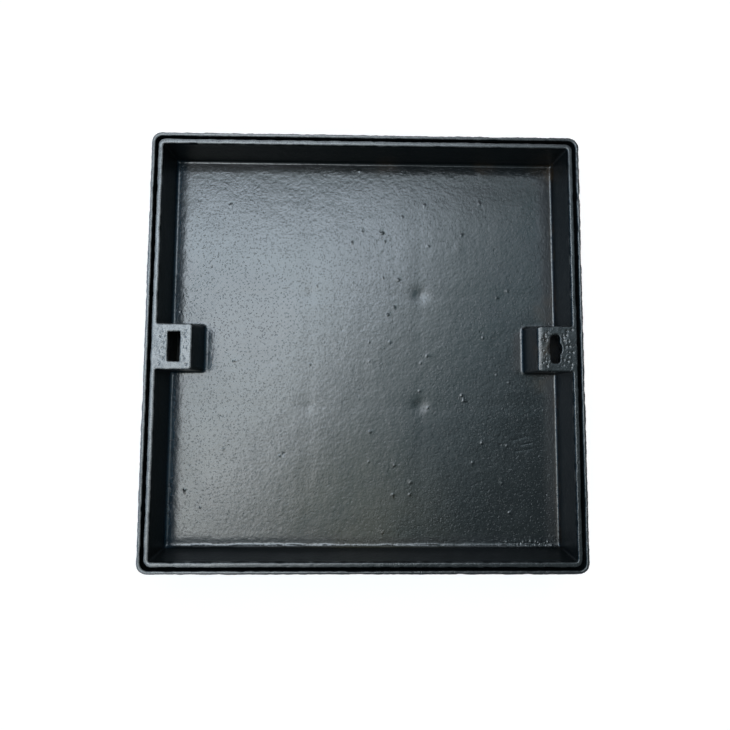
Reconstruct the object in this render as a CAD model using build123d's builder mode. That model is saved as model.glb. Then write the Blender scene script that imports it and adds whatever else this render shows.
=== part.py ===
"""Recessed manhole cover in its frame.

A cast frame holds a cast cover: a square tray that is filled with paving on site, with two hollow key
blocks standing on its floor. A rubber ring in the frame's seat seals the cover, and a closed pot under
each key block keeps dirt out of the shaft.

Millimetres. The origin is the centre of the frame's underside, +Z is up, and the keyhole is at +X.
"""

import os
from math import radians, tan

from build123d import *

# Driving dimensions
FRAME_SIZE = 600.0  # over the frame's upright walls
FRAME_HEIGHT = 70.0  # the frame's lip, the tray's rim and the key blocks' tops all end here
LIP_WIDTH = 5.0  # the frame's lip at the top
COVER_GAP = 4.5  # between the frame and the tray, all round
RIM_WIDTH = 6.5  # the tray's wall at the top
RECESS_DEPTH = 51.0  # from the rim down to the tray's floor
DRAFT = 3.0  # degrees of slope on every wall inside the frame's lip
SMALLEST_RADIUS = 1.0  # of any drafted corner

# Frame
FLANGE_WIDTH = 22.0  # base flange, outside the upright walls
BASE_THICKNESS = 10.0  # base plate: the flange outside, the cover's seat inside
CLEAR_OPENING = 528.0  # way down into the shaft
OPENING_RADIUS = 12.0
FRAME_RADIUS = 15.0  # outer corners of the upright walls
FLANGE_RADIUS = 18.0
LIP_ROUNDING = 2.5  # outer top edge of the lip
FLANGE_FILLET = 4.0  # foot of the upright walls, outside
FLANGE_EDGE_ROUNDING = 2.0
ANCHOR_SPACING = 619.0  # anchor holes in the flange's four corners
ANCHOR_RADIUS = 5.5
GUSSET_THICKNESS = 8.0
GUSSET_REACH = 16.0
GUSSET_HEIGHT = 42.0
GUSSET_SPACING = 300.0
GUSSETS_PER_SIDE = 2

# Seal, in a groove of the seat below the tray's wall
SEAL_WIDTH = 5.6
SEAL_THICKNESS = 3.0
GROOVE_WIDTH = 6.0
GROOVE_FROM_WALL = 0.2  # groove's outer side to the foot of the tray's wall
SEAL_CORNER_RADIUS = 6.0

# Tray
TRAY_RADIUS = 10.0  # outer corners at the rim
RECESS_RADIUS = 4.0  # inner corners
FLOOR_FILLET = 2.0
RIM_ROUNDING = 1.0
FOOT_HEIGHT = 2.0  # machined band that bears on the seat
FOOT_BAND_INNER = 536.0
RIB_OFFSET = 81.0  # two ribs each way, from the middle
RIB_THICKNESS = 6.0
RIB_DEPTH = 7.0
RIB_LENGTH = 516.0

# Key blocks
BLOCK_WIDTH = 62.0  # along Y, at the top
BLOCK_FACE = 236.0  # from the middle to a block's free face, at the top
BLOCK_CORNER_RADIUS = 4.0
BLOCK_ROOT = 0.7  # how far a block reaches into the tray's wall, as a share of the wall
BLOCK_TOP_THICKNESS = 10.0
CHAMBER_LENGTH = 36.0  # along X
CHAMBER_WIDTH = 50.0  # along Y
CHAMBER_RADIUS = 4.0
SLOT_LENGTH = 41.0  # rectangular slot, at -X
SLOT_WIDTH = 17.0
SLOT_RADIUS = 1.5
KEYHOLE_DIAMETER = 19.5  # round middle of the keyhole, at +X
KEYHOLE_SLOT_LENGTH = 39.0
KEYHOLE_SLOT_WIDTH = 13.0
KEYHOLE_SLOT_RADIUS = 4.5
MOUTH_CHAMFER = 0.6  # edge of each key opening

# Key pots
POT_HEIGHT = 36.0
POT_WALL = 2.5
POT_FLOOR = 3.0

# Sizes that follow from these
floor_top = FRAME_HEIGHT - RECESS_DEPTH
floor_bottom = BASE_THICKNESS + FOOT_HEIGHT
chamber_top = FRAME_HEIGHT - BLOCK_TOP_THICKNESS
frame_inner = FRAME_SIZE - 2 * LIP_WIDTH
tray_outer = frame_inner - 2 * COVER_GAP
recess = tray_outer - 2 * RIM_WIDTH
key_centre = (BLOCK_FACE + recess / 2) / 2  # from the middle to each key opening and its chamber


def draft_inset(height):
    """How far a drafted wall stands in from its place at the rim, at a height above the underside."""
    return (FRAME_HEIGHT - height) * tan(radians(DRAFT))


def section(length, width, radius, height, centre_x=0.0):
    """A level rounded rectangle at a height, as one end of a drafted solid."""
    with BuildSketch(Plane.XY.offset(height)) as outline:
        with Locations((centre_x, 0)):
            RectangleRounded(length, width, radius)
    return outline.sketch.face()


def drafted_square(size_at_rim, radius_at_rim, low):
    """The two end sections of a square with drafted sides, from a low level up to the rim level."""
    inset = draft_inset(low)
    size_at_foot = size_at_rim - 2 * inset
    radius_at_foot = max(radius_at_rim - inset, SMALLEST_RADIUS)
    return [
        section(size_at_foot, size_at_foot, radius_at_foot, low),
        section(size_at_rim, size_at_rim, radius_at_rim, FRAME_HEIGHT),
    ]


def key_block(side):
    """The two end sections of a block on the tray's wall, at +X for side 1 and at -X for side -1."""
    root = recess / 2 + BLOCK_ROOT * RIM_WIDTH
    ends = []
    for level in (floor_bottom, FRAME_HEIGHT):
        inset = draft_inset(level)
        near, far = BLOCK_FACE - inset, root - inset
        width = BLOCK_WIDTH + 2 * inset
        ends.append(section(far - near, width, BLOCK_CORNER_RADIUS, level, side * (near + far) / 2))
    return ends


# Frame: base plate with the seat, upright walls, gussets and anchor holes
with BuildPart() as gusset:
    with BuildSketch(Plane.XZ):
        with BuildLine():
            Polyline(
                (FRAME_SIZE / 2 - LIP_WIDTH / 2, BASE_THICKNESS / 2),
                (FRAME_SIZE / 2 + GUSSET_REACH, BASE_THICKNESS / 2),
                (FRAME_SIZE / 2 + GUSSET_REACH, BASE_THICKNESS + GUSSET_THICKNESS / 2),
                (FRAME_SIZE / 2, BASE_THICKNESS + GUSSET_HEIGHT),
                (FRAME_SIZE / 2 - LIP_WIDTH / 2, BASE_THICKNESS + GUSSET_HEIGHT),
                close=True,
            )
        make_face()
    extrude(amount=GUSSET_THICKNESS / 2, both=True)

with BuildPart() as frame:
    flange_size = FRAME_SIZE + 2 * FLANGE_WIDTH
    with BuildSketch():
        RectangleRounded(flange_size, flange_size, FLANGE_RADIUS)
    extrude(amount=BASE_THICKNESS)
    fillet(frame.edges().group_by(Axis.Z)[-1], radius=FLANGE_EDGE_ROUNDING)
    with BuildSketch(Plane.XY.offset(BASE_THICKNESS)):
        RectangleRounded(FRAME_SIZE, FRAME_SIZE, FRAME_RADIUS)
    extrude(amount=FRAME_HEIGHT - BASE_THICKNESS)
    fillet(frame.edges(Select.LAST).group_by(Axis.Z)[0], radius=FLANGE_FILLET)
    fillet(frame.edges().group_by(Axis.Z)[-1], radius=LIP_ROUNDING)
    with PolarLocations(0, 4):
        with GridLocations(0, GUSSET_SPACING, 1, GUSSETS_PER_SIDE):
            add(gusset.part)
    well = drafted_square(frame_inner, FRAME_RADIUS - LIP_WIDTH, BASE_THICKNESS)
    loft(well, ruled=True, mode=Mode.SUBTRACT)
    with BuildSketch():
        RectangleRounded(CLEAR_OPENING, CLEAR_OPENING, OPENING_RADIUS)
    extrude(amount=BASE_THICKNESS, mode=Mode.SUBTRACT)
    with Locations((0, 0, BASE_THICKNESS)):
        with GridLocations(ANCHOR_SPACING, ANCHOR_SPACING, 2, 2):
            Hole(radius=ANCHOR_RADIUS, depth=BASE_THICKNESS)
    groove_outer = tray_outer - 2 * draft_inset(BASE_THICKNESS) - 2 * GROOVE_FROM_WALL
    groove_inner = groove_outer - 2 * GROOVE_WIDTH
    with BuildSketch(Plane.XY.offset(BASE_THICKNESS - SEAL_THICKNESS)):
        RectangleRounded(groove_outer, groove_outer, SEAL_CORNER_RADIUS)
        RectangleRounded(groove_inner, groove_inner, SMALLEST_RADIUS, mode=Mode.SUBTRACT)
    extrude(amount=SEAL_THICKNESS, mode=Mode.SUBTRACT)
frame.part.label = "frame"

# Seal: a flat rubber ring that fills the groove
with BuildPart() as seat_gasket:
    play = (GROOVE_WIDTH - SEAL_WIDTH) / 2
    seal_outer = groove_outer - 2 * play
    seal_inner = groove_inner + 2 * play
    with BuildSketch(Plane.XY.offset(BASE_THICKNESS - SEAL_THICKNESS)):
        RectangleRounded(seal_outer, seal_outer, SEAL_CORNER_RADIUS - play)
        RectangleRounded(seal_inner, seal_inner, SMALLEST_RADIUS + play, mode=Mode.SUBTRACT)
    extrude(amount=SEAL_THICKNESS)
seat_gasket.part.label = "seat_gasket"

# Cover tray: walls, floor, key blocks, ribs under the floor and the band that bears on the seat
with BuildPart() as cover_tray:
    loft(drafted_square(tray_outer, TRAY_RADIUS, BASE_THICKNESS), ruled=True)
    loft(drafted_square(recess, RECESS_RADIUS, floor_top), ruled=True, mode=Mode.SUBTRACT)
    with BuildSketch(Plane.XY.offset(BASE_THICKNESS)):
        RectangleRounded(FOOT_BAND_INNER, FOOT_BAND_INNER, OPENING_RADIUS)
    extrude(amount=FOOT_HEIGHT, mode=Mode.SUBTRACT)
    for side in (-1, 1):
        loft(key_block(side), ruled=True)
    fillet(cover_tray.edges().filter_by_position(Axis.Z, floor_top, floor_top), radius=FLOOR_FILLET)
    fillet(cover_tray.edges().group_by(Axis.Z)[-1], radius=RIM_ROUNDING)
    with BuildSketch(Plane.XY.offset(floor_bottom - RIB_DEPTH)):
        with GridLocations(2 * RIB_OFFSET, 0, 2, 1):
            Rectangle(RIB_THICKNESS, RIB_LENGTH)
        with GridLocations(0, 2 * RIB_OFFSET, 1, 2):
            Rectangle(RIB_LENGTH, RIB_THICKNESS)
    extrude(amount=RIB_DEPTH)
    with BuildSketch(Plane.XY.offset(BASE_THICKNESS)):
        with GridLocations(2 * key_centre, 0, 2, 1):
            RectangleRounded(CHAMBER_LENGTH, CHAMBER_WIDTH, CHAMBER_RADIUS)
    extrude(amount=chamber_top - BASE_THICKNESS, mode=Mode.SUBTRACT)
    with BuildSketch(Plane.XY.offset(chamber_top)):
        with Locations((-key_centre, 0)):
            RectangleRounded(SLOT_WIDTH, SLOT_LENGTH, SLOT_RADIUS)
        with Locations((key_centre, 0)):
            Circle(KEYHOLE_DIAMETER / 2)
            RectangleRounded(KEYHOLE_SLOT_WIDTH, KEYHOLE_SLOT_LENGTH, KEYHOLE_SLOT_RADIUS)
    extrude(amount=BLOCK_TOP_THICKNESS, mode=Mode.SUBTRACT)
    chamfer(cover_tray.edges(Select.LAST).group_by(Axis.Z)[-1], length=MOUTH_CHAMFER)
cover_tray.part.label = "cover_tray"


def key_pot(side):
    """A closed pot that fills the lower part of a key block's chamber."""
    with BuildPart() as pot:
        with BuildSketch(Plane.XY.offset(floor_bottom)):
            with Locations((side * key_centre, 0)):
                RectangleRounded(CHAMBER_LENGTH, CHAMBER_WIDTH, CHAMBER_RADIUS)
        extrude(amount=POT_HEIGHT)
        with BuildSketch(Plane.XY.offset(floor_bottom + POT_FLOOR)):
            with Locations((side * key_centre, 0)):
                RectangleRounded(
                    CHAMBER_LENGTH - 2 * POT_WALL,
                    CHAMBER_WIDTH - 2 * POT_WALL,
                    CHAMBER_RADIUS - POT_WALL,
                )
        extrude(amount=POT_HEIGHT - POT_FLOOR, mode=Mode.SUBTRACT)
    return pot


slot_key_pot = key_pot(-1)
slot_key_pot.part.label = "slot_key_pot"
keyhole_key_pot = key_pot(1)
keyhole_key_pot.part.label = "keyhole_key_pot"

os.makedirs("parts", exist_ok=True)
for piece in (frame, seat_gasket, cover_tray, slot_key_pot, keyhole_key_pot):
    export_step(piece.part, f"parts/{piece.part.label}.step")
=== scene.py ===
"""Looks of a recessed manhole cover: two painted castings, a rubber seal and two plastic pots."""

import math

import bmesh
import bpy
import numpy as np
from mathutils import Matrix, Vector, noise


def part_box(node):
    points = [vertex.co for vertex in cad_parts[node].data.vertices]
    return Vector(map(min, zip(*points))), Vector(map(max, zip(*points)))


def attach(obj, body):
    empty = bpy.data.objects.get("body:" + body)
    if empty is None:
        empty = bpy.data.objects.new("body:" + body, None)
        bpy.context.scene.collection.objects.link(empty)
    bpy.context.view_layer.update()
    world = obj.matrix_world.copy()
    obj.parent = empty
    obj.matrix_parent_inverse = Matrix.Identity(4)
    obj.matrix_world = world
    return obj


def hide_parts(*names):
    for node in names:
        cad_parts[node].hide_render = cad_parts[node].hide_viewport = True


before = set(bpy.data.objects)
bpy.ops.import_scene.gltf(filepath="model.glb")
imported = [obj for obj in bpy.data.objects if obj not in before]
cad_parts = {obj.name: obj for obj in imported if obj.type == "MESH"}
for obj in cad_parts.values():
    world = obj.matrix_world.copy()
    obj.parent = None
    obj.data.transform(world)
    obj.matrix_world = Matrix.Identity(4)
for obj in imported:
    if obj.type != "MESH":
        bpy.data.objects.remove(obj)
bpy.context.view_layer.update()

mm = 0.001

# Sizes of the castings. A half size runs from the middle to a side, and levels start at the ground.
frame_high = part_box("frame")[1]
TOP = frame_high.z
FLANGE_HALF = frame_high.x
BASE_TOP = 10 * mm
DRAFT = math.radians(3)
WALL_SLOPE = math.tan(DRAFT)
WALL_LEAN = math.cos(DRAFT)

FLANGE_WIDTH = 22 * mm
FRAME_WALL = 5 * mm
FRAME_HALF = FLANGE_HALF - FLANGE_WIDTH
FRAME_RADIUS = 15 * mm
FLANGE_RADIUS = 18 * mm
WELL_HALF = FRAME_HALF - FRAME_WALL
WELL_RADIUS = 10 * mm
OPENING_HALF = 264 * mm
OPENING_RADIUS = 12 * mm
ANCHOR_OFFSET = 309.5 * mm
ANCHOR_RADIUS = 5.5 * mm
GUSSET_OFFSET = 150 * mm
GUSSET_HALF_THICKNESS = 4 * mm
GUSSET_REACH = 16 * mm
GUSSET_TOP = 52 * mm
GUSSET_TOE = 14 * mm

TRAY_PLAY = 4.5 * mm
TRAY_WALL = 6.5 * mm
TRAY_HALF = WELL_HALF - TRAY_PLAY
TRAY_RADIUS = 10 * mm
RECESS_HALF = TRAY_HALF - TRAY_WALL
RECESS_RADIUS = 4 * mm
RECESS_DEPTH = 51 * mm
FLOOR_TOP = TOP - RECESS_DEPTH
FLOOR_BOTTOM = 12 * mm
FLOOR_FILLET = 2.5 * mm
FOOT_HALF_INNER = 268 * mm
RIB_OFFSET = 81 * mm
RIB_HALF_THICKNESS = 3 * mm
RIB_HALF_LENGTH = 258 * mm
RIB_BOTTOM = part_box("cover_tray")[0].z
SUNK_LINE_WIDTH = 9.5 * mm
SUNK_LINE_DEPTH = 0.12 * mm
CROSSING_DEPTH_RIGHT = 1.35 * mm
CROSSING_DEPTH_LEFT = 0.35 * mm

BLOCK_FACE = 236 * mm
BLOCK_HALF_WIDTH = 31 * mm
BLOCK_RADIUS = 4 * mm
KEY_OFFSET = 260 * mm
SLOT_HALF_WIDTH = 8.5 * mm
SLOT_HALF_LENGTH = 20.5 * mm
KEYHOLE_RADIUS = 9.75 * mm
KEYHOLE_SLOT_HALF_WIDTH = 6.5 * mm
KEYHOLE_SLOT_HALF_LENGTH = 19.5 * mm
CHAMBER_HALF_LENGTH = 18 * mm
CHAMBER_HALF_WIDTH = 25 * mm
BLOCK_TOP_THICKNESS = 10 * mm
CHAMBER_TOP = TOP - BLOCK_TOP_THICKNESS
WORN_TILT = math.radians(17)
WORN_DEPTH = 1.2 * mm

SEAL_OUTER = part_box("seat_gasket")[1].x
SEAL_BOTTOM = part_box("seat_gasket")[0].z
SEAL_WIDTH = 5.6 * mm
SEAL_RADIUS = 5.8 * mm
SEAL_RIDGE = 0.35 * mm
GROOVE_PLAY = 0.2 * mm


# Solids as signed distances: negative inside, in metres


def rounded_rectangle(x, y, half_x, half_y, radius):
    """Distance in plan to a rectangle with round corners."""
    over_x = np.abs(x) - (half_x - radius)
    over_y = np.abs(y) - (half_y - radius)
    outside = np.hypot(np.maximum(over_x, 0), np.maximum(over_y, 0))
    return outside + np.minimum(np.maximum(over_x, over_y), 0) - radius


def drafted_square(x, y, depth, half_at_rim, radius_at_rim):
    """Distance to a square whose sides lean in with depth below the rim."""
    inset = depth * WALL_SLOPE
    smallest_radius = 1 * mm
    radius = np.maximum(radius_at_rim - inset, smallest_radius)
    half = half_at_rim - inset
    return rounded_rectangle(x, y, half, half, radius) * WALL_LEAN


def join(a, b, fillet):
    """Both solids, with a round fillet between them."""
    near = np.hypot(np.maximum(fillet - a, 0), np.maximum(fillet - b, 0))
    return np.maximum(fillet, np.minimum(a, b)) - near


def common(a, b, rounding):
    """What lies in both solids, with the edge between them rounded."""
    near = np.hypot(np.maximum(rounding + a, 0), np.maximum(rounding + b, 0))
    return np.minimum(-rounding, np.maximum(a, b)) + near


def cut(a, b, rounding):
    """The first solid without the second, with the edge between them rounded."""
    return common(a, -b, rounding)


def floor_level(x, y):
    """The tray's floor, sunk a little over the ribs below and more where two ribs cross."""
    line_x = np.exp(-(((np.abs(x) - RIB_OFFSET) / SUNK_LINE_WIDTH) ** 2))
    line_y = np.exp(-(((np.abs(y) - RIB_OFFSET) / SUNK_LINE_WIDTH) ** 2))
    crossing = np.where(x > 0, CROSSING_DEPTH_RIGHT, CROSSING_DEPTH_LEFT)
    return FLOOR_TOP - SUNK_LINE_DEPTH * (line_x + line_y) - crossing * line_x * line_y


def key_opening(x, y):
    """The rectangular slot at -X and the keyhole at +X, in plan."""
    slot = rounded_rectangle(x + KEY_OFFSET, y, SLOT_HALF_WIDTH, SLOT_HALF_LENGTH, radius=1.5 * mm)
    ends = rounded_rectangle(
        x - KEY_OFFSET, y, KEYHOLE_SLOT_HALF_WIDTH, KEYHOLE_SLOT_HALF_LENGTH, radius=4.5 * mm
    )
    middle = np.hypot(x - KEY_OFFSET, y) - KEYHOLE_RADIUS
    return np.minimum(slot, join(ends, middle, fillet=1 * mm))


def key_blocks(x, y, depth):
    """Both key blocks in the recess, with leaning sides and faces."""
    face = BLOCK_FACE - depth * WALL_SLOPE
    beyond_wall = 10 * mm
    back = TRAY_HALF + beyond_wall
    half_width = BLOCK_HALF_WIDTH + depth * WALL_SLOPE
    return rounded_rectangle(
        np.abs(x) - (face + back) / 2, y, (back - face) / 2, half_width, BLOCK_RADIUS
    )


def floor_ribs(x, y, z):
    """The four ribs under the tray's floor."""
    along_y = np.maximum(
        np.abs(np.abs(x) - RIB_OFFSET) - RIB_HALF_THICKNESS, np.abs(y) - RIB_HALF_LENGTH
    )
    along_x = np.maximum(
        np.abs(np.abs(y) - RIB_OFFSET) - RIB_HALF_THICKNESS, np.abs(x) - RIB_HALF_LENGTH
    )
    ribs = common(join(along_x, along_y, fillet=4 * mm), RIB_BOTTOM - z, rounding=1.5 * mm)
    inside_floor = FLOOR_TOP - 3 * mm
    return np.maximum(ribs, z - inside_floor)


def key_chambers(x, y, z):
    """The hollows of both key blocks, open at the bottom."""
    chamber = rounded_rectangle(
        np.abs(x) - KEY_OFFSET, y, CHAMBER_HALF_LENGTH, CHAMBER_HALF_WIDTH, radius=4 * mm
    )
    return common(chamber, z - CHAMBER_TOP, rounding=1.5 * mm)


def worn_edge(x, y, depth):
    """What is worn off the front of the top of the right key block."""
    slant = (x - BLOCK_FACE) * math.sin(WORN_TILT) + depth * math.cos(WORN_TILT) - WORN_DEPTH
    near_block = (np.abs(y) - 60 * mm, depth - 5 * mm, 200 * mm - x)
    return np.maximum.reduce([slant, *near_block])


def tray_solid(points):
    """The cover tray with its key blocks, chambers and ribs."""
    x, y, z = points.T
    depth = TOP - z
    body = drafted_square(x, y, depth, TRAY_HALF, TRAY_RADIUS)
    body = common(body, -depth, rounding=1.8 * mm)
    body = common(body, BASE_TOP - z, rounding=0.6 * mm)
    hollow = drafted_square(x, y, depth, RECESS_HALF, RECESS_RADIUS)
    hollow = common(hollow, floor_level(x, y) - z, rounding=FLOOR_FILLET)
    hollow = cut(hollow, key_blocks(x, y, depth), rounding=FLOOR_FILLET)
    tray = cut(body, hollow, rounding=1.6 * mm)
    below = rounded_rectangle(x, y, FOOT_HALF_INNER, FOOT_HALF_INNER, radius=12 * mm)
    below = common(below, z - FLOOR_BOTTOM, rounding=1 * mm)
    tray = cut(tray, below, rounding=0.6 * mm)
    tray = join(tray, floor_ribs(x, y, z), fillet=3 * mm)
    tray = cut(tray, key_chambers(x, y, z), rounding=0.6 * mm)
    tray = cut(tray, worn_edge(x, y, depth), rounding=0.8 * mm)
    return cut(tray, key_opening(x, y), rounding=1.1 * mm)


def gussets(x, y, z):
    """The slanting gussets on the flange, two against each side of the frame."""
    outward = np.maximum(np.abs(x), np.abs(y))
    along = np.minimum(np.abs(x), np.abs(y))
    drop = GUSSET_TOP - GUSSET_TOE
    steepness = math.hypot(drop, GUSSET_REACH)
    slant = ((outward - FRAME_HALF) * drop + (z - GUSSET_TOP) * GUSSET_REACH) / steepness
    inside_wall = FRAME_HALF - 3 * mm
    gusset = np.maximum(slant, outward - FRAME_HALF - GUSSET_REACH)
    gusset = np.maximum(gusset, inside_wall - outward)
    return common(gusset, np.abs(along - GUSSET_OFFSET) - GUSSET_HALF_THICKNESS, rounding=1.2 * mm)


def seal_groove(x, y, z):
    """The groove in the seat that holds the rubber ring."""
    outer = SEAL_OUTER + GROOVE_PLAY
    inner = SEAL_OUTER - SEAL_WIDTH - GROOVE_PLAY
    groove = cut(
        rounded_rectangle(x, y, outer, outer, radius=6 * mm),
        rounded_rectangle(x, y, inner, inner, radius=1 * mm),
        rounding=0.2 * mm,
    )
    return np.maximum(groove, SEAL_BOTTOM - z)


def frame_solid(points):
    """The frame: base plate, upright walls, gussets, seat, seal groove and anchor holes."""
    x, y, z = points.T
    depth = TOP - z
    upright = rounded_rectangle(x, y, FRAME_HALF, FRAME_HALF, FRAME_RADIUS)
    upright = common(upright, -depth, rounding=2.5 * mm)
    base = rounded_rectangle(x, y, FLANGE_HALF, FLANGE_HALF, FLANGE_RADIUS)
    base = common(base, z - BASE_TOP, rounding=2 * mm)
    solid = join(upright, base, fillet=4 * mm)
    solid = join(solid, gussets(x, y, z), fillet=2.5 * mm)
    solid = np.maximum(solid, -z)
    well = drafted_square(x, y, depth, WELL_HALF, WELL_RADIUS)
    well = common(well, BASE_TOP - z, rounding=1.5 * mm)
    solid = cut(solid, well, rounding=1.2 * mm)
    opening = rounded_rectangle(x, y, OPENING_HALF, OPENING_HALF, OPENING_RADIUS)
    solid = cut(solid, opening, rounding=1 * mm)
    holes = np.hypot(np.abs(x) - ANCHOR_OFFSET, np.abs(y) - ANCHOR_OFFSET) - ANCHOR_RADIUS
    solid = cut(solid, holes, rounding=0.8 * mm)
    return cut(solid, seal_groove(x, y, z), rounding=0.3 * mm)


def seal_solid(points):
    """The rubber ring: a flat strip with round edges and two low sealing ridges."""
    x, y, z = points.T
    inner = SEAL_OUTER - SEAL_WIDTH
    outline = rounded_rectangle(x, y, SEAL_OUTER, SEAL_OUTER, SEAL_RADIUS)
    hole = rounded_rectangle(x, y, inner, inner, radius=1.2 * mm)
    ring = cut(outline, hole, rounding=0.3 * mm)
    from_middle = outline + SEAL_WIDTH / 2
    turn = from_middle / (SEAL_WIDTH / 2) * 2 * math.pi
    top = BASE_TOP - SEAL_RIDGE * (1 - np.cos(turn)) / 2
    ring = common(ring, z - top, rounding=0.6 * mm)
    return common(ring, SEAL_BOTTOM - z, rounding=0.3 * mm)


# Meshes


def levels(*spans):
    """Grid levels upwards, from (start, end, step) spans."""
    parts = [np.arange(*span) for span in spans]
    last_end = spans[-1][1]
    return np.unique(np.concatenate([*parts, [last_end]]).round(7))


def lines(*spans):
    """Grid lines on both sides of 0, from (start, end, step) spans that begin at 0."""
    half = levels(*spans)
    return np.concatenate([-half[:0:-1], half])


CORNERS = np.array([(i, j, k) for i in (0, 1) for j in (0, 1) for k in (0, 1)])
CELL_EDGES = [(a, b) for a in CORNERS for b in CORNERS if (b - a).sum() == 1 and (b >= a).all()]


def surface_net(solid, grid_lines):
    """Vertices and quads of the solid's surface, one vertex in each grid cell that it crosses."""
    grid = np.stack(np.meshgrid(*grid_lines, indexing="ij"), -1)
    value = solid(grid.reshape(-1, 3)).reshape(grid.shape[:3])
    inside = value < 0
    size = np.array(inside.shape) - 1
    corners_inside = sum(
        inside[i : i + size[0], j : j + size[1], k : k + size[2]].astype(int) for i, j, k in CORNERS
    )
    cells = np.argwhere((corners_inside > 0) & (corners_inside < len(CORNERS)))
    number = np.full(size, -1)
    number[tuple(cells.T)] = np.arange(len(cells))
    total = np.zeros((len(cells), 3))
    count = np.zeros(len(cells))
    for a, b in CELL_EDGES:
        start, end = tuple((cells + a).T), tuple((cells + b).T)
        crossed = inside[start] != inside[end]
        gap = np.where(crossed, value[start] - value[end], 1)
        share = np.where(crossed, value[start] / gap, 0)[:, None]
        total += crossed[:, None] * (grid[start] + share * (grid[end] - grid[start]))
        count += crossed
    quads = []
    directions = np.eye(3, dtype=int)
    for axis in range(3):
        step, u, v = (directions[(axis + turn) % 3] for turn in range(3))
        stop = np.array(inside.shape) - step
        here = inside[: stop[0], : stop[1], : stop[2]]
        there = inside[step[0] :, step[1] :, step[2] :]
        at = np.argwhere(here != there)
        ring = np.stack([number[tuple((at - shift).T)] for shift in (u + v, v, 0 * u, u)], 1)
        outward = here[tuple(at.T)]
        quads.append(np.where(outward[:, None], ring, ring[:, ::-1]))
    return total / count[:, None], np.concatenate(quads)


def normals_at(solid, points, value):
    """Unit normals of the solid's surface and how steep its distance is there."""
    nudge = 0.02 * mm
    least = 1e-6
    slope = np.stack([(solid(points + nudge * side) - value) / nudge for side in np.eye(3)], 1)
    steepness = np.linalg.norm(slope, axis=1, keepdims=True).clip(least)
    return slope / steepness, steepness[:, 0]


def settle(solid, points, rounds=4, most=0.5 * mm):
    """Moves the points onto the solid's surface, and returns them with their normals."""
    for _ in range(rounds):
        value = solid(points)
        normal, steepness = normals_at(solid, points, value)
        points = points - normal * (value / steepness).clip(-most, most)[:, None]
    return points, normal


def noise_at(points, wavelength, seed):
    """Smooth noise between about -1 and 1 at each point."""
    shift = seed * 17.3
    return np.array([noise.noise(Vector(p)) for p in points / wavelength + shift])


def smooth_step(value, low, high):
    """0 below low, 1 above high, and a soft step between."""
    share = ((value - low) / (high - low)).clip(0, 1)
    return share * share * (3 - 2 * share)


# Marks in the castings: pimples, flecks and rings stand up, and pits, scrapes and dents go down


def scattered(seed, count, low, high, radius, height):
    """Round marks as rows of x, y, radius and height, at random places between two corners."""
    random = np.random.default_rng(seed)
    return np.column_stack([
        random.uniform(low[0], high[0], count),
        random.uniform(low[1], high[1], count),
        random.uniform(*radius, count),
        random.uniform(*height, count),
    ])


FLOOR_REACH = 272 * mm
FLASH_LINE = RECESS_HALF - (TOP - FLOOR_TOP) * WALL_SLOPE - 1.5 * mm

# Middle of each scrape, and how far it runs along X and Y
SCRAPES = (
    (228 * mm, -128 * mm, 22 * mm, 6 * mm),
    (236 * mm, -136 * mm, 16 * mm, 3 * mm),
    (232 * mm, -145 * mm, 24 * mm, 4 * mm),
)
SCRAPE_DENTS = 12
SCRAPE_RADIUS = 1.7 * mm
SCRAPE_HEIGHT = -0.2 * mm

# Middle and radius of each ring on the key blocks
RINGS = (
    (-275.5 * mm, 19.5 * mm, 3.2 * mm),
    (278 * mm, 10.5 * mm, 4.2 * mm),
    (278 * mm, -11 * mm, 4.4 * mm),
    (246.5 * mm, -12.5 * mm, 3.2 * mm),
)
RING_HEIGHT = 0.7 * mm
RING_PIT_SHARE = 0.65
RING_PIT_HEIGHT = -1.2 * mm


def floor_marks():
    """Pimples, pits, scrapes and a corner's flecks on the tray's floor, clear of the key blocks."""
    whole_floor = {"low": (-FLOOR_REACH, -FLOOR_REACH), "high": (FLOOR_REACH, FLOOR_REACH)}
    pimples = scattered(
        seed=11,
        count=26,
        **whole_floor,
        radius=(1.4 * mm, 2.6 * mm),
        height=(0.35 * mm, 0.65 * mm),
    )
    more_at_the_right = scattered(
        seed=12,
        count=34,
        low=(-20 * mm, -FLOOR_REACH),
        high=(225 * mm, 200 * mm),
        radius=(1.4 * mm, 2.8 * mm),
        height=(0.4 * mm, 0.85 * mm),
    )
    pits = scattered(
        seed=13,
        count=20,
        **whole_floor,
        radius=(0.9 * mm, 1.7 * mm),
        height=(-0.6 * mm, -0.35 * mm),
    )
    flecks = scattered(
        seed=14,
        count=22,
        low=(200 * mm, -FLASH_LINE),
        high=(FLOOR_REACH, 6 * mm - FLASH_LINE),
        radius=(0.9 * mm, 1.8 * mm),
        height=(0.5 * mm, 1 * mm),
    )
    dents = [
        (x + run * share, y + rise * share, SCRAPE_RADIUS, SCRAPE_HEIGHT)
        for x, y, run, rise in SCRAPES
        for share in np.linspace(-0.5, 0.5, SCRAPE_DENTS)
    ]
    marks = np.concatenate([pimples, more_at_the_right, pits, flecks, dents])
    between_blocks = np.abs(marks[:, 0]) < 225 * mm
    beside_blocks = np.abs(marks[:, 1]) > 45 * mm
    return marks[between_blocks | beside_blocks]


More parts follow.
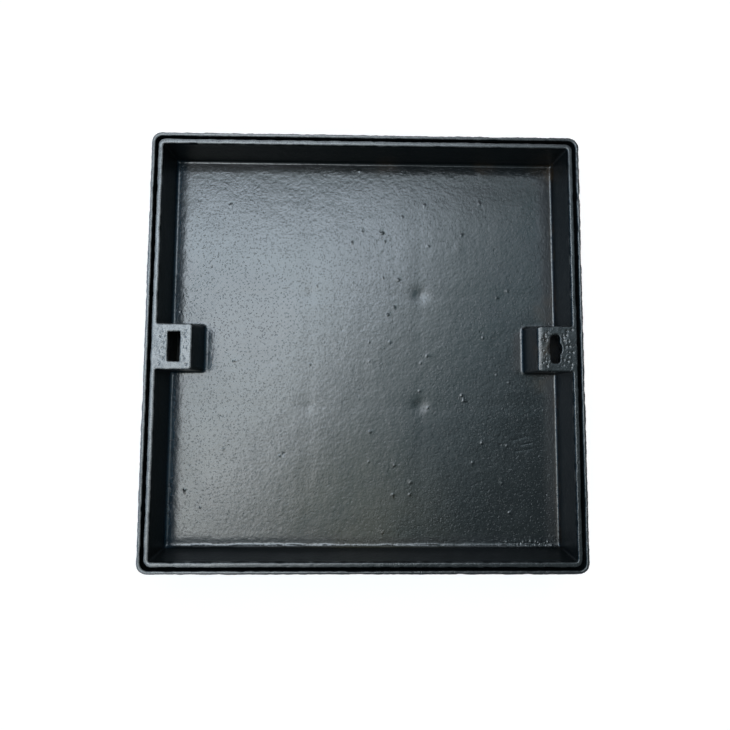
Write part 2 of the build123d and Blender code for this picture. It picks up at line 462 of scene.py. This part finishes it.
def block_marks():
    """Pits and four rings on top of the key blocks, in columns beside the key openings."""
    small = {"radius": (1 * mm, 1.9 * mm), "height": (-1 * mm, -0.5 * mm)}
    left_of_slot = scattered(
        seed=21, count=16, low=(-280 * mm, -25 * mm), high=(-271 * mm, 25 * mm), **small
    )
    right_of_slot = scattered(
        seed=23, count=20, low=(-250 * mm, -25 * mm), high=(-241 * mm, 25 * mm), **small
    )
    right_of_keyhole = scattered(
        seed=22,
        count=26,
        low=(270 * mm, -27 * mm),
        high=(284 * mm, 27 * mm),
        radius=(1.2 * mm, 2.6 * mm),
        height=(-1.4 * mm, -0.6 * mm),
    )
    left_of_keyhole = scattered(
        seed=24,
        count=22,
        low=(242 * mm, -27 * mm),
        high=(252 * mm, 27 * mm),
        radius=(1.2 * mm, 2.4 * mm),
        height=(-1.4 * mm, -0.6 * mm),
    )
    marks = np.concatenate([left_of_slot, right_of_slot, right_of_keyhole, left_of_keyhole])
    for x, y, radius in RINGS:
        away = np.hypot(marks[:, 0] - x, marks[:, 1] - y) > radius + 1 * mm
        ring = (x, y, radius, RING_HEIGHT)
        pit = (x, y, RING_PIT_SHARE * radius, RING_PIT_HEIGHT)
        marks = np.concatenate([marks[away], [ring, pit]])
    to_opening = key_opening(marks[:, 0], marks[:, 1])
    return marks[to_opening > marks[:, 2] + 0.8 * mm]


FLOOR_MARKS = floor_marks()
BLOCK_MARKS = block_marks()


def marks_height(points, marks):
    """How far the round marks raise a level surface at each point."""
    steepness = 1.5
    total = np.zeros(len(points))
    for x, y, radius, height in marks:
        share = 1 - ((points[:, 0] - x) ** 2 + (points[:, 1] - y) ** 2) / radius**2
        total += height * share.clip(0, 1) ** steepness
    return total


def near_marks(centres, level, marks, margin):
    """Which points are at a level and within a margin of a round mark."""
    near = np.zeros(len(centres), bool)
    for x, y, radius, _ in marks:
        near |= np.hypot(centres[:, 0] - x, centres[:, 1] - y) < radius + margin
    return near & (np.abs(centres[:, 2] - level) < 1.5 * mm)


def refine(points, faces, wanted, longest, rounds=4):
    """Halves the edges of the wanted faces while any is longer than asked, for a few rounds."""
    mesh = bpy.data.meshes.new("refined")
    mesh.from_pydata(points.tolist(), [], faces)
    shape = bmesh.new()
    shape.from_mesh(mesh)
    bpy.data.meshes.remove(mesh)
    for _ in range(rounds):
        shape.faces.ensure_lookup_table()
        centres = np.array([face.calc_center_median() for face in shape.faces])
        edges = {}
        for index in np.flatnonzero(wanted(centres)):
            for edge in shape.faces[index].edges:
                if edge.calc_length() > longest:
                    edges[edge] = True
        if not edges:
            break
        bmesh.ops.subdivide_edges(shape, edges=list(edges), cuts=1, use_grid_fill=True)
    many_sided = [face for face in shape.faces if len(face.verts) > 4]
    bmesh.ops.triangulate(shape, faces=many_sided)
    shape.verts.index_update()
    points = np.array([corner.co for corner in shape.verts])
    faces = [[corner.index for corner in face.verts] for face in shape.faces]
    shape.free()
    return points, faces


RIM_LOW = TOP - 3.5 * mm


def top_edges(centres):
    """The rims and the tops of the key blocks."""
    return centres[:, 2] > RIM_LOW


def floor_flash(centres):
    """The foot of the tray's wall at -Y, where the mould left a ragged line of flash."""
    reach = 5 * mm
    at_foot = np.abs(centres[:, 1] + FLASH_LINE) < reach
    at_floor = np.abs(centres[:, 2] - FLOOR_TOP) < reach
    return at_foot & at_floor & (np.abs(centres[:, 0]) < RECESS_HALF)


def cast_skin(points, normal):
    """How far a sand-cast skin stands off its true surface, in metres."""
    coarse = noise_at(points, wavelength=90 * mm, seed=1) * 0.25 * mm
    middle = noise_at(points, wavelength=24 * mm, seed=2) * 0.14 * mm
    wavy = noise_at(points, wavelength=9 * mm, seed=3) * 0.5 * mm
    wavy = wavy + noise_at(points, wavelength=4 * mm, seed=4) * 0.3 * mm
    nicks = smooth_step(noise_at(points, wavelength=14 * mm, seed=5), 0.35, 0.7) * 0.7 * mm
    on_rim = smooth_step(points[:, 2], RIM_LOW, TOP - 1.5 * mm)
    sideways = 1 - smooth_step(normal[:, 2], 0.75, 0.95)
    edge = on_rim * (wavy * (0.35 + 0.65 * sideways) - nicks * sideways)
    on_seat = np.abs(points[:, 2] - BASE_TOP) < 1 * mm
    on_ground = points[:, 2] < 0.5 * mm
    return np.where(on_seat | on_ground, 0, coarse + middle + edge)


def tray_skin(points, normal):
    """The tray's cast skin, with the marks on its floor and key blocks, and the flash."""
    upward = smooth_step(normal[:, 2], 0.5, 0.9)
    on_floor = upward * (np.abs(points[:, 2] - FLOOR_TOP) < 2 * mm)
    on_blocks = upward * (points[:, 2] > TOP - 1 * mm)
    marks = marks_height(points, FLOOR_MARKS) * on_floor
    marks = marks + marks_height(points, BLOCK_MARKS) * on_blocks
    from_line = np.hypot(points[:, 1] + FLASH_LINE, points[:, 2] - FLOOR_TOP)
    flash = smooth_step(3 * mm - from_line, 0, 2 * mm)
    ragged = 0.5 + noise_at(points, wavelength=30 * mm, seed=6)
    ragged = ragged + 0.6 * noise_at(points, wavelength=8 * mm, seed=7)
    flash = flash * ragged.clip(0.3, 1) * 1.1 * mm
    return cast_skin(points, normal) + marks + flash


def marked_part_of_tray(centres):
    """Where the tray needs a fine mesh for its marks."""
    margin = 1.2 * mm
    on_floor = near_marks(centres, FLOOR_TOP, FLOOR_MARKS, margin)
    on_blocks = near_marks(centres, TOP, BLOCK_MARKS, margin)
    return on_floor | on_blocks


def smooth_mesh(name, points, faces):
    """A smooth-shaded mesh object."""
    mesh = bpy.data.meshes.new(name)
    mesh.from_pydata(points.tolist(), [], faces)
    mesh.validate()
    mesh.shade_smooth()
    piece = bpy.data.objects.new(name, mesh)
    bpy.context.scene.collection.objects.link(piece)
    return piece


def solid_piece(name, solid, grid_lines, skin=None, refined=()):
    """A piece made of its solid's surface, with a rough skin where it is cast."""
    points, faces = surface_net(solid, grid_lines)
    points, normal = settle(solid, points)
    faces = faces.tolist()
    for wanted, longest in refined:
        points, faces = refine(points, faces, wanted, longest)
    points, normal = settle(solid, points, rounds=2)
    if skin is not None:
        points = points + normal * skin(points, normal)[:, None]
    return smooth_mesh(name, points, faces)


# Grids for the three pieces, finer where the shape has small radii
TRAY_GRID = (
    lines(
        (0, 72 * mm, 6.5 * mm),
        (72 * mm, 90 * mm, 3 * mm),
        (90 * mm, 230 * mm, 6.5 * mm),
        (230 * mm, 268 * mm, 2.3 * mm),
        (268 * mm, 292 * mm, 1.6 * mm),
    ),
    lines(
        (0, 36 * mm, 2.1 * mm),
        (36 * mm, 72 * mm, 6 * mm),
        (72 * mm, 90 * mm, 3 * mm),
        (90 * mm, 275 * mm, 6.5 * mm),
        (275 * mm, 292 * mm, 1.6 * mm),
    ),
    levels(
        (4 * mm, 11 * mm, 1.6 * mm),
        (11 * mm, 24 * mm, 1.6 * mm),
        (24 * mm, 57 * mm, 5 * mm),
        (57 * mm, 66 * mm, 3 * mm),
        (66 * mm, 72 * mm, 1.3 * mm),
    ),
)
frame_lines = lines(
    (0, 144 * mm, 6 * mm),
    (144 * mm, 156 * mm, 1.5 * mm),
    (156 * mm, 256 * mm, 6 * mm),
    (256 * mm, 324 * mm, 1.9 * mm),
)
frame_levels = levels(
    (-1 * mm, 14 * mm, 1 * mm), (14 * mm, 62 * mm, 5 * mm), (62 * mm, 72 * mm, 1.4 * mm)
)
FRAME_GRID = (frame_lines, frame_lines, frame_levels)
seal_lines = lines((0, 270 * mm, 10 * mm), (270 * mm, 288 * mm, 0.5 * mm))
seal_levels = levels((SEAL_BOTTOM - 0.6 * mm, SEAL_BOTTOM + 4 * mm, 0.4 * mm))
SEAL_GRID = (seal_lines, seal_lines, seal_levels)

tray_details = [(top_edges, 1.8 * mm), (marked_part_of_tray, 1.15 * mm), (floor_flash, 2 * mm)]
frame_details = [(top_edges, 1.6 * mm)]
tray = solid_piece("cover_tray_casting", tray_solid, TRAY_GRID, tray_skin, tray_details)
frame_piece = solid_piece("frame_casting", frame_solid, FRAME_GRID, cast_skin, frame_details)
seal_piece = solid_piece("seat_seal_ring", seal_solid, SEAL_GRID)
for piece, node, body, slot in (
    (tray, "cover_tray", "cover", "painted_cast_iron"),
    (frame_piece, "frame", "seating", "painted_cast_iron"),
    (seal_piece, "seat_gasket", "seating", "seal_rubber"),
):
    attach(piece, body)
    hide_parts(node)


# Materials


# Sockets of a Mix node when it mixes colours
MIX_SHARE = 0
MIX_FIRST = 6
MIX_SECOND = 7
MIX_RESULT = 2


class Recipe:
    """A node material, made one node at a time. Its shader starts with the given plain values."""

    def __init__(self, name, roughness, specular):
        self.material = bpy.data.materials.new(name)
        self.material.use_nodes = True
        self.tree = self.material.node_tree
        self.shader = self.tree.nodes["Principled BSDF"]
        self.shader.inputs["Roughness"].default_value = roughness
        self.shader.inputs["Specular IOR Level"].default_value = specular
        self.place = self.tree.nodes.new("ShaderNodeTexCoord").outputs["Object"]

    def feed(self, socket, value):
        """Links a node's output to a socket, or sets the socket's own value."""
        if isinstance(value, bpy.types.NodeSocket):
            self.tree.links.new(value, socket)
        else:
            socket.default_value = value

    def noise(self, wavelength, detail=2, roughness=0.5, offset=0):
        """Smooth noise around 0.5, with its wavelength in metres."""
        node = self.tree.nodes.new("ShaderNodeTexNoise")
        node.noise_dimensions = "4D"
        node.inputs["W"].default_value = offset
        node.inputs["Scale"].default_value = 1 / wavelength
        node.inputs["Detail"].default_value = detail
        node.inputs["Roughness"].default_value = roughness
        self.feed(node.inputs["Vector"], self.place)
        return node.outputs["Fac"]

    def math(self, operation, *values):
        """One step of arithmetic."""
        node = self.tree.nodes.new("ShaderNodeMath")
        node.operation = operation
        for socket, value in zip(node.inputs, values):
            self.feed(socket, value)
        return node.outputs[0]

    def span(self, value, low, high, start=0.0, end=1.0):
        """A value between low and high, spread from start to end with soft ends."""
        node = self.tree.nodes.new("ShaderNodeMapRange")
        node.interpolation_type = "SMOOTHSTEP"
        node.inputs["From Min"].default_value = low
        node.inputs["From Max"].default_value = high
        node.inputs["To Min"].default_value = start
        node.inputs["To Max"].default_value = end
        self.feed(node.inputs["Value"], value)
        return node.outputs["Result"]

    def mix(self, share, first, second):
        """A mix of two colours."""
        node = self.tree.nodes.new("ShaderNodeMix")
        node.data_type = "RGBA"
        self.feed(node.inputs[MIX_SHARE], share)
        self.feed(node.inputs[MIX_FIRST], first)
        self.feed(node.inputs[MIX_SECOND], second)
        return node.outputs[MIX_RESULT]

    def times(self, *values):
        """The product of two or more values."""
        product = values[0]
        for value in values[1:]:
            product = self.math("MULTIPLY", product, value)
        return product

    def near(self, place, reach):
        """1 at a place, falling softly to 0 at its reach."""
        node = self.tree.nodes.new("ShaderNodeVectorMath")
        node.operation = "DISTANCE"
        self.feed(node.inputs[0], self.place)
        node.inputs[1].default_value = place
        return self.span(node.outputs["Value"], 0, reach, 1, 0)

    def along(self, axis):
        """Place along an axis of the object."""
        node = self.tree.nodes.new("ShaderNodeSeparateXYZ")
        self.feed(node.inputs[0], self.place)
        return node.outputs[axis]

    def bump(self, *heights):
        """Lays relief over the surface, from pairs of a height and how tall 1 of it is."""
        normal = None
        for height, tall in heights:
            node = self.tree.nodes.new("ShaderNodeBump")
            node.inputs["Distance"].default_value = tall
            self.feed(node.inputs["Height"], height)
            if normal is not None:
                self.feed(node.inputs["Normal"], normal)
            normal = node.outputs["Normal"]
        self.feed(self.shader.inputs["Normal"], normal)


PAINT_BLACK = (0.0046, 0.0062, 0.007, 1)
PAINT_DUSTY = (0.018, 0.02, 0.02, 1)
# Light grey of worn iron on the rims and block tops, also used as painted light on their lit side
# at -X and +Y
WORN_IRON_AND_PAINTED_LIGHT = (0.21, 0.203, 0.2, 1)
RUST_BROWN = (0.048, 0.027, 0.012, 1)
SOIL_BROWN = (0.03, 0.025, 0.013, 1)
# Painted blue reflection on the floor, where the wall at -X and the key block there keep the light
# out of its reflection
PAINTED_BLUE_REFLECTION = (0.009, 0.027, 0.045, 1)

# Where rust shows, and how far it reaches
RUSTY_PLACES = (
    ((276 * mm, 276 * mm, FLOOR_TOP), 46 * mm),
    ((180 * mm, 282 * mm, FLOOR_TOP), 24 * mm),
    ((30 * mm, 283 * mm, FLOOR_TOP), 30 * mm),
    ((262 * mm, -44 * mm, FLOOR_TOP), 30 * mm),
    ((268 * mm, 60 * mm, FLOOR_TOP), 28 * mm),
    ((240 * mm, 0, TOP), 36 * mm),
)
MOST_RUST = 0.6
SOIL_PLACE = (-20 * mm, -260 * mm, FLOOR_TOP)
SOIL_REACH = 190 * mm


def wear_and_painted_light_on_tops(recipe, x, y, top, specks):
    """How far the rims and block tops turn light grey: real wear in specks, and painted light that
    is strongest at -X and +Y and fades towards +X and -Y.
    """
    speckled = recipe.times(top, recipe.span(specks, 0.3, 0.6, 0.55, 1))
    # Painted light: the grey is strongest on the lit side at -X and +Y and fades away from it
    away_from_lit_side = recipe.math("MULTIPLY_ADD", y, -0.6, x)
    return recipe.times(speckled, recipe.span(away_from_lit_side, -380 * mm, 250 * mm, 1, 0.06))


def rust_share(recipe, x, height, patches):
    """How rusty the iron is: in a few places, and in patches low down at +X."""
    rust = 0.0
    for place, reach in RUSTY_PLACES:
        rust = recipe.math("ADD", rust, recipe.near(place, reach))
    low_down = recipe.span(height, FLOOR_TOP + 2 * mm, FLOOR_TOP + 12 * mm, 1, 0)
    foot = recipe.times(recipe.span(x, 272 * mm, 284 * mm), low_down)
    rust = recipe.math("ADD", rust, foot)
    rust = recipe.times(rust, recipe.span(patches, 0.4, 0.7, 0.1, 0.6))
    return recipe.math("MINIMUM", rust, MOST_RUST)


def floor_mask(recipe, height):
    """1 at the level of the tray's floor, and 0 below it and higher up."""
    return recipe.times(
        recipe.span(height, FLOOR_TOP - 3 * mm, FLOOR_TOP - 1.5 * mm),
        recipe.span(height, FLOOR_TOP + 2 * mm, FLOOR_TOP + 6 * mm, 1, 0),
    )


def painted_reflection_share(recipe, x, y, on_floor, patches):
    """How much painted blue reflection the floor gets: along the wall at -X and in front of the key
    block there.
    """
    by_wall = recipe.span(x, -282 * mm, -260 * mm, 1, 0)
    across_block = recipe.span(recipe.math("ABSOLUTE", y), 26 * mm, 38 * mm, 1, 0)
    by_block = recipe.times(recipe.span(x, -230 * mm, -210 * mm, 1, 0), across_block)
    blue = recipe.times(recipe.math("MAXIMUM", by_wall, by_block), on_floor)
    return recipe.times(blue, recipe.span(patches, 0.35, 0.65, 0.6, 1))


def bitumen_on_iron():
    """Glossy black bitumen paint on sand-cast iron, with dust, wear, rust and soil, painted light
    on the tops and a painted blue reflection on the floor.
    """
    recipe = Recipe("black_bitumen_on_iron", roughness=0.3, specular=0.7)
    x, y, height = (recipe.along(axis) for axis in "XYZ")
    grain = recipe.noise(3.4 * mm, detail=2, roughness=0.55)
    pebbles = recipe.noise(8 * mm, detail=1, offset=2)
    specks = recipe.noise(1.7 * mm, detail=1, offset=5)
    pinholes = recipe.span(recipe.noise(2.7 * mm, detail=1, offset=6), 0.6, 0.7, 1, 0)
    clouds = recipe.noise(70 * mm, detail=3, roughness=0.6, offset=3)
    patches = recipe.noise(18 * mm, detail=3, roughness=0.6, offset=4)

    # Colour
    dust = recipe.span(clouds, 0.35, 0.75, 0, 0.15)
    dust = recipe.math("ADD", dust, recipe.span(grain, 0.5, 0.75, 0, 0.5))
    colour = recipe.mix(dust, PAINT_BLACK, PAINT_DUSTY)
    top = recipe.span(height, TOP - 1.6 * mm, TOP - 0.5 * mm)
    # Worn iron on the tops in specks, with painted light that is strongest at -X and +Y
    colour = recipe.mix(wear_and_painted_light_on_tops(recipe, x, y, top, specks), colour, WORN_IRON_AND_PAINTED_LIGHT)
    rust = rust_share(recipe, x, height, patches)
    colour = recipe.mix(rust, colour, RUST_BROWN)
    on_floor = floor_mask(recipe, height)
    soil = recipe.near(SOIL_PLACE, SOIL_REACH)
    soil = recipe.times(soil, recipe.span(clouds, 0.3, 0.6, 0.4, 0.9), on_floor)
    colour = recipe.mix(soil, colour, SOIL_BROWN)
    # Painted blue reflection on the floor beside the wall at -X and the key block there
    colour = recipe.mix(painted_reflection_share(recipe, x, y, on_floor, patches), colour, PAINTED_BLUE_REFLECTION)
    recipe.feed(recipe.shader.inputs["Base Color"], colour)

    # Roughness: rougher on the tops, where it rusts and on the walls inside the recess
    rough = recipe.span(clouds, 0.3, 0.7, 0.16, 0.21)
    rough = recipe.math("ADD", rough, recipe.times(top, 0.03))
    rough = recipe.math("ADD", rough, recipe.times(rust, 0.12))
    reach = recipe.math("MAXIMUM", recipe.math("ABSOLUTE", x), recipe.math("ABSOLUTE", y))
    outside = recipe.span(reach, 285 * mm, 287 * mm)
    walls = recipe.times(
        recipe.span(height, FLOOR_TOP + 3 * mm, FLOOR_TOP + 9 * mm),
        recipe.span(height, TOP - 7 * mm, TOP - 3 * mm, 1, 0),
        recipe.math("SUBTRACT", 1.0, outside),
    )
    rough = recipe.math("ADD", rough, recipe.times(walls, 0.2))
    recipe.feed(recipe.shader.inputs["Roughness"], rough)

    # Relief: the pebbled skin is 2.5 times as deep on the outside, below the rim
    outside = recipe.times(outside, recipe.span(height, TOP - 6 * mm, TOP - 3 * mm, 1, 0))
    pebbles = recipe.math("SUBTRACT", pebbles, 0.5)
    pebbles = recipe.times(pebbles, recipe.math("MULTIPLY_ADD", outside, 1.5, 1.0))
    recipe.bump(
        (pebbles, 0.22 * mm), (grain, 0.22 * mm), (specks, 0.02 * mm), (pinholes, 0.13 * mm)
    )
    return recipe.material


RUBBER_BLACK = (0.012, 0.012, 0.013, 1)
RUBBER_BLOOM = (0.032, 0.032, 0.034, 1)


def seal_rubber():
    """Matt black moulded rubber with a fine grain and a grey bloom."""
    recipe = Recipe("black_seal_rubber", roughness=0.6, specular=0.4)
    bloom = recipe.noise(25 * mm, detail=3, roughness=0.6)
    grain = recipe.noise(0.7 * mm, detail=2, offset=1)
    colour = recipe.mix(recipe.span(bloom, 0.35, 0.7), RUBBER_BLACK, RUBBER_BLOOM)
    recipe.feed(recipe.shader.inputs["Base Color"], colour)
    recipe.feed(recipe.shader.inputs["Roughness"], recipe.span(bloom, 0.3, 0.7, 0.5, 0.75))
    recipe.bump((grain, 0.08 * mm))
    return recipe.material


PLASTIC_GREY = (0.03, 0.031, 0.033, 1)
SAND = (0.09, 0.08, 0.065, 1)


def pot_plastic():
    """Dark grey moulded plastic with a spark-eroded texture and sand-coloured dirt."""
    recipe = Recipe("dark_moulded_plastic", roughness=0.5, specular=0.5)
    dirt = recipe.noise(12 * mm, detail=4, roughness=0.65)
    grain = recipe.noise(0.9 * mm, detail=2, offset=1)
    colour = recipe.mix(recipe.span(dirt, 0.5, 0.75), PLASTIC_GREY, SAND)
    recipe.feed(recipe.shader.inputs["Base Color"], colour)
    recipe.feed(recipe.shader.inputs["Roughness"], recipe.span(dirt, 0.4, 0.7, 0.42, 0.7))
    recipe.bump((grain, 0.06 * mm))
    return recipe.material


iron = bitumen_on_iron()
for piece in (tray, frame_piece):
    piece.data.materials.append(iron)
seal_piece.data.materials.append(seal_rubber())
plastic = pot_plastic()
for node in ("slot_key_pot", "keyhole_key_pot"):
    pot = bpy.data.objects[node]
    for material_slot in pot.material_slots:
        material_slot.material = plastic

# Stage, camera and light
STAGE_SIZE = 12
bpy.ops.mesh.primitive_plane_add(size=STAGE_SIZE, location=(0, 0, 0))
floor = bpy.context.object
floor.name = "studio_floor"
pale = bpy.data.materials.new("pale_floor")
pale.use_nodes = True
pale_shader = pale.node_tree.nodes["Principled BSDF"]
pale_shader.inputs["Base Color"].default_value = (0.98, 0.87, 0.82, 1)
pale_shader.inputs["Roughness"].default_value = 1
pale_shader.inputs["Emission Color"].default_value = (1, 0.97, 0.95, 1)
pale_shader.inputs["Emission Strength"].default_value = 0.22
floor.data.materials.append(pale)

CAMERA_PLACE = (-18.8 * mm, -39.8 * mm, TOP + 638.4 * mm)
CAMERA_TILT = (math.radians(4.046), math.radians(-0.99), math.radians(0.34))
camera_data = bpy.data.cameras.new("camera")
camera_data.lens = 23.2
camera_data.shift_x = 0.007
camera_data.shift_y = -0.0294
camera = bpy.data.objects.new("camera", camera_data)
bpy.context.scene.collection.objects.link(camera)
camera.location = CAMERA_PLACE
camera.rotation_euler = CAMERA_TILT
bpy.context.scene.camera = camera

# The light comes from a direction (x, y, z) of length 1. Its brightness follows x + SKY_SLANT * y.
SKY_STRENGTH = 6.3
SKY_SLANT = -0.65
COOL = (0.89, 1.0, 1.08)
BLUE = (0.74, 1.0, 1.12)

# Place, brightness and tint of each stop
SKY_STOPS = (
    (-1.0, 0.75, COOL),
    (-0.5, 1.1, COOL),
    (-0.36, 1.08, COOL),
    (-0.29, 1.0, COOL),
    (-0.22, 1.05, COOL),
    (-0.12, 0.95, COOL),
    (-0.02, 0.54, COOL),
    (0.07, 0.28, COOL),
    (0.2, 0.19, BLUE),
    (0.42, 0.035, BLUE),
    (1.0, 0.035, BLUE),
)

# Axis, where along it the light is still full, where it has faded, and what is left of it there
SKY_EDGES = (
    ("X", -0.355, -0.47, (0.05, 0.09, 0.13, 1)),
    ("Y", 0.31, 0.45, (0.08, 0.08, 0.08, 1)),
    ("Y", -0.29, -0.42, (0.5, 0.5, 0.5, 1)),
)

# A slight tint, from warm at -Y to cool at +Y
TINT_REACH = 0.28
WARM_END = (1.05, 0.99, 0.92, 1)
COOL_END = (1.0, 1.03, 1.06, 1)
WHITE = (1, 1, 1, 1)
SEEN_BACKGROUND = (0.9, 0.91, 0.92, 1)


def multiplied(nodes, links, colour, share, first, second):
    """A colour times a mix of two tints."""
    tint = nodes.new("ShaderNodeMix")
    tint.data_type = "RGBA"
    links.new(share, tint.inputs[MIX_SHARE])
    tint.inputs[MIX_FIRST].default_value = first
    tint.inputs[MIX_SECOND].default_value = second
    product = nodes.new("ShaderNodeVectorMath")
    product.operation = "MULTIPLY"
    links.new(colour, product.inputs[0])
    links.new(tint.outputs[MIX_RESULT], product.inputs[1])
    return product.outputs[0]


def soft_sky():
    """Soft light from a bright field above and towards -X. The camera sees a plain tone instead."""
    world = bpy.data.worlds.new("studio")
    world.use_nodes = True
    nodes, links = world.node_tree.nodes, world.node_tree.links
    direction = nodes.new("ShaderNodeTexCoord").outputs["Generated"]
    parts = nodes.new("ShaderNodeSeparateXYZ")
    links.new(direction, parts.inputs[0])
    across = nodes.new("ShaderNodeMath")
    across.operation = "MULTIPLY_ADD"
    across.inputs[1].default_value = SKY_SLANT
    links.new(parts.outputs["Y"], across.inputs[0])
    links.new(parts.outputs["X"], across.inputs[2])
    place = nodes.new("ShaderNodeMapRange")
    place.inputs["From Min"].default_value = -1
    links.new(across.outputs[0], place.inputs["Value"])
    field = nodes.new("ShaderNodeValToRGB")
    stops = field.color_ramp.elements
    stops.remove(stops[1])
    for index, (place_of_stop, bright, tint) in enumerate(SKY_STOPS):
        stop = stops.new((place_of_stop + 1) / 2) if index else stops[0]
        stop.color = (bright * tint[0], bright * tint[1], bright * tint[2], 1)
    links.new(place.outputs["Result"], field.inputs["Fac"])
    colour = field.outputs["Color"]
    for axis, full, faint, rest in SKY_EDGES:
        fall = nodes.new("ShaderNodeMapRange")
        fall.interpolation_type = "SMOOTHSTEP"
        fall.inputs["From Min"].default_value = full
        fall.inputs["From Max"].default_value = faint
        links.new(parts.outputs[axis], fall.inputs["Value"])
        colour = multiplied(nodes, links, colour, fall.outputs["Result"], WHITE, rest)
    share = nodes.new("ShaderNodeMapRange")
    share.inputs["From Min"].default_value = -TINT_REACH
    share.inputs["From Max"].default_value = TINT_REACH
    links.new(parts.outputs["Y"], share.inputs["Value"])
    colour = multiplied(nodes, links, colour, share.outputs["Result"], WARM_END, COOL_END)
    light = nodes["Background"]
    light.inputs["Strength"].default_value = SKY_STRENGTH
    links.new(colour, light.inputs["Color"])
    seen = nodes.new("ShaderNodeBackground")
    seen.inputs["Color"].default_value = SEEN_BACKGROUND
    rays = nodes.new("ShaderNodeLightPath")
    chosen = nodes.new("ShaderNodeMixShader")
    links.new(rays.outputs["Is Camera Ray"], chosen.inputs[0])
    links.new(light.outputs[0], chosen.inputs[1])
    links.new(seen.outputs[0], chosen.inputs[2])
    links.new(chosen.outputs[0], nodes["World Output"].inputs["Surface"])
    bpy.context.scene.world = world


soft_sky()
bpy.context.scene.view_settings.view_transform = "Standard"
